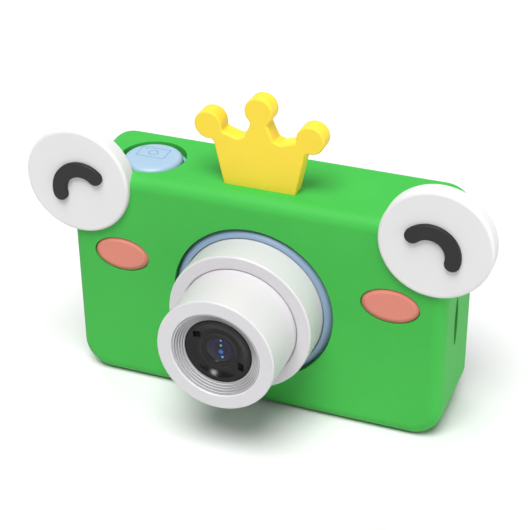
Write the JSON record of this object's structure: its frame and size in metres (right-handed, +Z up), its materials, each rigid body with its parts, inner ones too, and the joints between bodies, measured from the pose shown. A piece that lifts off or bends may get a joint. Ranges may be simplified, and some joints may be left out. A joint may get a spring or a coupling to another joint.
{
  "type": "kids digital camera",
  "caption": "Children's compact digital camera in a green animal-face silicone sleeve with eye discs, cheeks and a crown, a stepped white lens, a top shutter button and a screen with keys.",
  "frame": {"origin": "under the middle of the overall box, on the surface that the camera stands on", "axes": "+X to the right seen from the front, -Y out of the lens, +Z up to the crown"},
  "size_m": [0.1048, 0.0436, 0.0729],
  "materials": {
    "green_silicone": "matt, soft",
    "white_silicone": "matt, soft",
    "black_silicone": "matt, soft",
    "pink_silicone": "matt, soft",
    "yellow_silicone": "matt, soft",
    "blue_plastic": "fine satin moulding",
    "white_plastic": "fine satin moulding",
    "key_plastic": "fine satin moulding",
    "black_plastic": "satin",
    "lens_glass": "polished, coated",
    "sensor_glass": "polished",
    "display_glass": "polished",
    "window_plastic": "polished, clear with a printed black border",
    "circuit_board": "solder mask",
    "flex_film": "polyimide film",
    "steel": "plated",
    "battery_foil": "satin foil",
    "lead_insulation": "PVC",
    "light_plastic": "clear",
    "card_plastic": "smooth"
  },
  "bodies": {
    "camera": {"barrel_screws": "steel", "battery": "battery_foil", "battery_leads": "lead_insulation", "board_screws": "steel", "card_socket": "steel", "case_screws": "steel", "crown": "yellow_silicone", "display_flex_cable": "flex_film", "display_panel": "display_glass", "display_window": "window_plastic", "front_lens": "lens_glass", "front_shell": "blue_plastic", "image_sensor": "sensor_glass", "key_switches": "black_plastic", "left_cheek": "pink_silicone", "left_eye": "white_silicone", "left_eye_arc": "black_silicone", "lens_cell": "black_plastic", "lens_inner_barrel": "white_plastic", "lens_outer_barrel": "white_plastic", "lens_plate": "black_plastic", "lens_trim_ring": "blue_plastic", "main_board": "circuit_board", "microphone": "steel", "processor_chip": "black_plastic", "rear_lens": "lens_glass", "rear_shell": "blue_plastic", "right_cheek": "pink_silicone", "right_eye": "white_silicone", "right_eye_arc": "black_silicone", "sensor_board": "circuit_board", "sensor_flex_cable": "flex_film", "sensor_holder": "black_plastic", "sensor_screws": "steel", "shutter_switch": "black_plastic", "silicone_sleeve": "green_silicone", "speaker": "black_plastic", "speaker_leads": "lead_insulation", "status_light": "light_plastic", "usb_socket": "steel"},
    "shutter": {"shutter_button": "blue_plastic", "shutter_plunger": "black_plastic"},
    "power_key": {"power_button": "key_plastic", "power_plunger": "black_plastic"},
    "menu_key": {"menu_button": "key_plastic", "menu_plunger": "black_plastic"},
    "up_key": {"up_button": "key_plastic", "up_plunger": "black_plastic"},
    "down_key": {"down_button": "key_plastic", "down_plunger": "black_plastic"},
    "left_key": {"left_button": "key_plastic", "left_plunger": "black_plastic"},
    "right_key": {"right_button": "key_plastic", "right_plunger": "black_plastic"},
    "ok_key": {"ok_button": "key_plastic", "ok_plunger": "black_plastic"},
    "card": {"memory_card": "card_plastic"}
  },
  "joints": [
    {"name": "shutter_press", "type": "slide", "parent": "camera", "child": "shutter", "axis": [0, 0, -1], "range_m": [0, 0.0008], "stiffness_N_per_m": 600},
    {"name": "power_press", "type": "slide", "parent": "camera", "child": "power_key", "axis": [0, -1, 0], "range_m": [0, 0.0005], "stiffness_N_per_m": 600},
    {"name": "menu_press", "type": "slide", "parent": "camera", "child": "menu_key", "axis": [0, -1, 0], "range_m": [0, 0.0005], "stiffness_N_per_m": 600},
    {"name": "up_press", "type": "slide", "parent": "camera", "child": "up_key", "axis": [0, -1, 0], "range_m": [0, 0.0005], "stiffness_N_per_m": 600},
    {"name": "down_press", "type": "slide", "parent": "camera", "child": "down_key", "axis": [0, -1, 0], "range_m": [0, 0.0005], "stiffness_N_per_m": 600},
    {"name": "left_press", "type": "slide", "parent": "camera", "child": "left_key", "axis": [0, -1, 0], "range_m": [0, 0.0005], "stiffness_N_per_m": 600},
    {"name": "right_press", "type": "slide", "parent": "camera", "child": "right_key", "axis": [0, -1, 0], "range_m": [0, 0.0005], "stiffness_N_per_m": 600},
    {"name": "ok_press", "type": "slide", "parent": "camera", "child": "ok_key", "axis": [0, -1, 0], "range_m": [0, 0.0005], "stiffness_N_per_m": 600},
    {"name": "card_slide", "type": "slide", "parent": "camera", "child": "card", "axis": [1, 0, 0], "range_m": [0, 0.016]}
  ]
}
